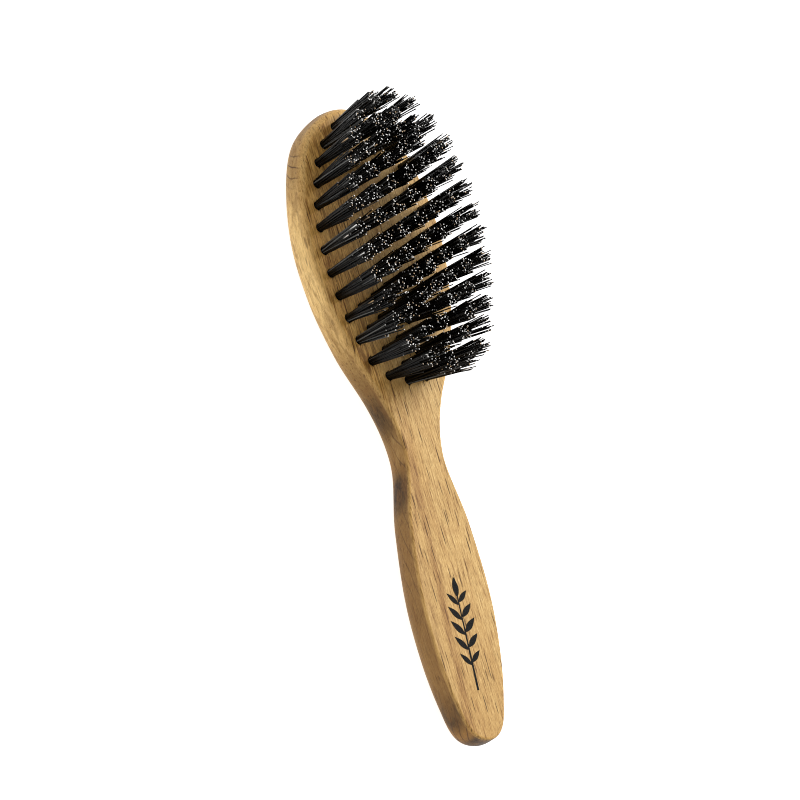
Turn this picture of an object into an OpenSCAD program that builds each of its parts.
// Paddle brush for beards: one-piece wooden body, round tufts of bristle held in blind holes
// by short pieces of flat wire. The brush lies on its back, handle towards -Y, bristles up, with
// the origin under the middle of its length and width.

/* [Wooden body] */
// Length over everything
brush_length = 170; // [150:1:190]
// Width of the head at its widest
head_width = 46.4; // [44:0.2:50]
// Width of the waist between head and handle
neck_width = 13.3; // [12:0.1:15]
// Width of the handle's belly
handle_width = 23.4; // [21:0.2:26]
// Thickness of the wood
body_thick = 10; // [9.5:0.5:13]
// Rounding of the bristle face's edge along the handle
edge_round = 1.5; // [0.6:0.1:1.8]
// Rounding of the bristle face's edge at the head's end
crown_round = 2.6; // [1.4:0.1:3]
// How far the back rounds in, measured across
back_round = 5.7; // [4:0.1:5.8]
// How far the back rounds in, measured through the thickness
back_round_depth = 6; // [4:0.1:6]

/* [Tufts] */
// Distance of the outer ring of holes from the head's edge, near the neck
neck_margin = 4.3; // [4.2:0.1:5]
// Distance of the outer ring of holes from the head's edge, at the head's end
crown_margin = 5.9; // [5.4:0.1:6]
// Distance of the hole nearest the handle from the handle's end
first_hole = 94.6; // [93:0.1:96]
// Height of the cut bristle ends above the face
tuft_height = 18.4; // [14:0.2:22]
// Diameter of a drilled hole
hole_d = 2.4; // [2:0.1:2.6]
// Depth of a drilled hole
hole_depth = 6.4; // [6:0.2:7]
// Diameter of a tuft at its cut end
tuft_end_d = 4.2; // [3:0.1:4.4]
// Rise towards the head of each tuft in a row over its outer neighbour
row_rise = 3; // [2.6:0.1:3.2]
// Fan of the tufts across the head, at its widest row
fan_across = 5.5; // [0:0.5:6]
// Lean of the tufts towards the handle, at the first row
lean_first = 6; // [0:0.5:9]
// Lean of the tufts away from the handle, at the last row
lean_last = 2; // [0:0.5:9]

/* [Anchors] */
// Width of the flat wire across its hole
anchor_width = 3.0; // [2.8:0.1:3.2]
// Height of the flat wire
anchor_height = 1.6; // [1.2:0.1:1.8]
// Thickness of the flat wire
anchor_thick = 0.32; // [0.25:0.01:0.4]
// Wood or bristle left between the bottom of the hole and the wire
anchor_lift = 1.6; // [1.4:0.1:2]

/* [Hidden] */
$fn = 48;

// Outline: half widths at a few stations along the length, written at the default length
base_length = 170;
long = brush_length / base_length;
waist = neck_width / 2;
stations = [
    [0, 0],
    [3, 0.485 * handle_width / 2],
    [10, 0.705 * handle_width / 2],
    [22, 0.913 * handle_width / 2],
    [37, handle_width / 2],
    [56, 0.867 * handle_width / 2],
    [75.5, waist],
    [90, 0.454 * head_width / 2],
    [104, 0.754 * head_width / 2],
    [118, 0.933 * head_width / 2],
    [133, head_width / 2],
    [148, 0.912 * head_width / 2],
    [160, 0.718 * head_width / 2],
    [167, 0.397 * head_width / 2],
    [base_length, 0]
];
last = len(stations) - 1;

// The square of the half width is a smooth cubic between stations, so both ends come out round
function square_at(i) = stations[i][1] * stations[i][1];
function slope_between(i) =
    (square_at(i + 1) - square_at(i)) / (stations[i + 1][0] - stations[i][0]);
function slope_at(i) =
    i == 0 ? 1.35 * slope_between(0) :
    i == last ? 1.1 * slope_between(last - 1) :
    (slope_between(i - 1) + slope_between(i)) / 2;
function span_of(y, i = 0) = (i == last - 1 || y < stations[i + 1][0]) ? i : span_of(y, i + 1);
function hermite(t, h, a, b, sa, sb) =
    (2 * t ^ 3 - 3 * t ^ 2 + 1) * a + (t ^ 3 - 2 * t ^ 2 + t) * h * sa
    + (3 * t ^ 2 - 2 * t ^ 3) * b + (t ^ 3 - t ^ 2) * h * sb;
function half_width(y) =
    let (
        i = span_of(y),
        h = stations[i + 1][0] - stations[i][0],
        t = (y - stations[i][0]) / h
    )
    sqrt(max(0, hermite(t, h, square_at(i), square_at(i + 1), slope_at(i), slope_at(i + 1))));

// Stations of the loft, closer together where the ends turn round
side_steps = 64;
function along(k, steps) = base_length * (1 - cos(180 * k / steps)) / 2;
function edge_point(k, steps) =
    let (y = along(k, steps))
    [k == 0 || k == steps ? 0 : half_width(y), (y - base_length / 2) * long];
function edge_normal(k, steps) =
    let (
        before = k == 0 ? edge_point(1, steps) : edge_point(k - 1, steps),
        after = k == steps ? edge_point(steps - 1, steps) : edge_point(k + 1, steps),
        run = k == 0 ? [1, 0] : k == steps ? [-1, 0] : after - before
    )
    [run[1], -run[0]] / norm(run);
function inset_point(k, steps, inset) = edge_point(k, steps) - inset * edge_normal(k, steps);

// Full outline, counter-clockwise from the handle's end
function outline_points(inset) = [
    for (k = [0:side_steps]) inset_point(k, side_steps, inset(k)),
    for (k = [side_steps - 1:-1:1]) let (p = inset_point(k, side_steps, inset(k))) [-p[0], p[1]]
];

// Section of the edge, from the back's flat to the bristle face's flat: height, and inset there
back_steps = 6;
face_steps = 4;
side_bulge = 0.25;
face_round = function(k)
    lookup(along(k, side_steps), [
        [0, edge_round],
        [0.6 * base_length, edge_round],
        [base_length, crown_round]
    ]);
function back_level(j) =
    let (a = 90 * j / back_steps)
    [back_round_depth * (1 - cos(a)), function(k) back_round * (1 - sin(a))];
function face_level(j) =
    let (a = 90 * j / face_steps)
    [function(k) face_round(k) * (1 - sin(a)),
     function(k) side_bulge + (face_round(k) - side_bulge) * (1 - cos(a))];

function back_ring(j) =
    let (level = back_level(j))
    [for (p = outline_points(level[1])) [p[0], p[1], level[0]]];
function face_ring(j) =
    let (
        level = face_level(j),
        flat = outline_points(level[1]),
        n = len(flat)
    )
    [for (i = [0:n - 1])
        [flat[i][0], flat[i][1], body_thick - level[0](i <= side_steps ? i : 2 * side_steps - i)]];

// Strip of a flat cap between stations k and k + 1, from the right edge over to the left one
function cap_strip(k, n) =
    k == 0 ? [0, 1, n - 1] :
    k == side_steps - 1 ? [k, k + 1, n - k] :
    [k, k + 1, n - k - 1, n - k];

module blank() {
    rings = concat(
        [for (j = [0:back_steps]) back_ring(j)],
        [for (j = [0:face_steps]) face_ring(j)]
    );
    n = 2 * side_steps;
    m = len(rings);
    points = [for (ring = rings) each ring];
    sides = [
        for (j = [0:m - 2], i = [0:n - 1])
            let (
                a = j * n + i,
                b = j * n + (i + 1) % n
            )
            each [[a, a + n, b], [b, a + n, b + n]]
    ];
    back = [for (k = [0:side_steps - 1]) cap_strip(k, n)];
    face = [for (k = [0:side_steps - 1]) [for (i = cap_strip(k, n)) m * n - n + i]];
    faces = concat(back, sides, [for (strip = face) [for (i = [len(strip) - 1:-1:0]) strip[i]]]);
    polyhedron(points = points, faces = faces);
}

// Ring of holes: evenly spaced along the head's edge, moved in by a margin that grows towards the
// head's end, and closed by a smooth bend across the head where it narrows into the neck
ring_half = 14;
ring_steps = 400;
ring_leaves = 98.7;
bend_steps = 30;
function ring_margin(y) =
    neck_margin + (crown_margin - neck_margin) * (y - ring_leaves) / (base_length - ring_leaves);
ring_path = [
    for (k = [ring_steps:-1:0])
        let (y = along(k, ring_steps))
        if (y > ring_leaves) inset_point(k, ring_steps, ring_margin(y))
];
path_end = ring_path[len(ring_path) - 1];
path_run = path_end - ring_path[len(ring_path) - 2];
bend_end = [0, (first_hole - base_length / 2) * long];
bend_corner = path_end + path_run * (bend_end[1] - path_end[1]) / path_run[1];
ring_run = concat(ring_path, [
    for (k = [1:bend_steps])
        let (t = k / bend_steps)
        (1 - t) ^ 2 * path_end + 2 * t * (1 - t) * bend_corner + t ^ 2 * bend_end
]);
function run_lengths(i = 0, sum = 0) =
    i == len(ring_run) ? [] :
    let (step = i == 0 ? 0 : norm(ring_run[i] - ring_run[i - 1]))
    concat([sum + step], run_lengths(i + 1, sum + step));
ring_lengths = run_lengths();
ring_total = ring_lengths[len(ring_lengths) - 1];
ring_x = [for (i = [0:len(ring_run) - 1]) [ring_lengths[i], ring_run[i][0]]];
ring_y = [for (i = [0:len(ring_run) - 1]) [ring_lengths[i], ring_run[i][1]]];
ring_hole = [
    for (i = [0:ring_half])
        let (s = ring_total * i / ring_half)
        [i == 0 || i == ring_half ? 0 : lookup(s, ring_x), lookup(s, ring_y)]
];

// Rows climb from a ring hole to the middle; the crown's rows fill what is left at the head's end
full_row = 3;
crown_from = 4;
function row_steps(i) = min(full_row, ring_half - i);
function row_hole(i, k) =
    let (n = row_steps(i), p = ring_hole[i])
    n == 0 ? p : [p[0] * (n - k) / n, p[1] + row_rise * k];
function both_sides(p) = p[0] < 0.01 ? [p] : [p, [-p[0], p[1]]];
function row_holes(i) = [for (k = [0:row_steps(i)]) each both_sides(row_hole(i, k))];
function halfway(a, b) = (a + b) / 2;
crown_fill = concat(
    both_sides(ring_hole[3]),
    both_sides(halfway(ring_hole[1], row_hole(crown_from, full_row - 1))),
    both_sides(halfway(ring_hole[0], row_hole(crown_from, full_row)))
);

// The three holes nearest the head's end stand a little closer to it than the rest of the ring
crown_lift = [0, 1.3];
crown_edge = concat(
    both_sides(ring_hole[2]),
    both_sides(ring_hole[1] + crown_lift),
    both_sides(ring_hole[0] + crown_lift)
);
rows = concat(
    [for (i = [ring_half:-1:crown_from]) row_holes(i)],
    [crown_fill, crown_edge]
);

// Each hole leans outwards across the head, and along it from the first row's lean to the last's
field_foot = ring_hole[ring_half][1];
field_length = ring_hole[0][1] - field_foot;
field_half_width = head_width / 2 - neck_margin;
module at_hole(p) {
    translate([p[0], p[1], body_thick])
        rotate([
            lean_first - (lean_first + lean_last) * (p[1] - field_foot) / field_length,
            fan_across * p[0] / field_half_width,
            0
        ])
            children();
}

clearance = 0.04;
tuft_root_d = hole_d - 0.1;
tuft_foot = hole_depth - 0.1;
end_round = 0.35;
anchor_foot = hole_depth - anchor_lift;
slot_top = 1;

module hole() {
    translate([0, 0, -hole_depth])
        cylinder(h = hole_depth + slot_top, d = hole_d);
    translate([0, 0, (slot_top - anchor_foot) / 2])
        cube([anchor_thick + 2 * clearance, anchor_width + 2 * clearance, anchor_foot + slot_top],
            center = true);
}

module anchor() {
    translate([0, 0, anchor_height / 2 - anchor_foot + clearance])
        cube([anchor_thick, anchor_width, anchor_height], center = true);
}

module anchor_gap() {
    translate([0, 0, anchor_height / 2 - anchor_foot + clearance])
        cube([anchor_thick + 2 * clearance, hole_d, anchor_height + 2 * clearance], center = true);
}

module tuft() {
    difference() {
        union() {
            translate([0, 0, -tuft_foot])
                cylinder(h = tuft_foot, d = tuft_root_d);
            cylinder(h = tuft_height - end_round, d1 = tuft_root_d, d2 = tuft_end_d);
            translate([0, 0, tuft_height - end_round])
                cylinder(h = end_round, d1 = tuft_end_d, d2 = tuft_end_d - 2 * end_round);
        }
        anchor_gap();
    }
}

module wood_body() {
    color("burlywood")
        difference() {
            blank();
            for (row = rows, p = row)
                at_hole(p) hole();
        }
}

module tuft_row(r) {
    color("#26231f")
        for (p = rows[r])
            at_hole(p) tuft();
}

module anchor_row(r) {
    color("silver")
        for (p = rows[r])
            at_hole(p) anchor();
}

wood_body();
tuft_row(0);  // tuft_row_01
tuft_row(1);  // tuft_row_02
tuft_row(2);  // tuft_row_03
tuft_row(3);  // tuft_row_04
tuft_row(4);  // tuft_row_05
tuft_row(5);  // tuft_row_06
tuft_row(6);  // tuft_row_07
tuft_row(7);  // tuft_row_08
tuft_row(8);  // tuft_row_09
tuft_row(9);  // tuft_row_10
tuft_row(10);  // tuft_row_11
tuft_row(11);  // tuft_row_12
tuft_row(12);  // tuft_row_13
anchor_row(0);  // anchor_row_01
anchor_row(1);  // anchor_row_02
anchor_row(2);  // anchor_row_03
anchor_row(3);  // anchor_row_04
anchor_row(4);  // anchor_row_05
anchor_row(5);  // anchor_row_06
anchor_row(6);  // anchor_row_07
anchor_row(7);  // anchor_row_08
anchor_row(8);  // anchor_row_09
anchor_row(9);  // anchor_row_10
anchor_row(10);  // anchor_row_11
anchor_row(11);  // anchor_row_12
anchor_row(12);  // anchor_row_13
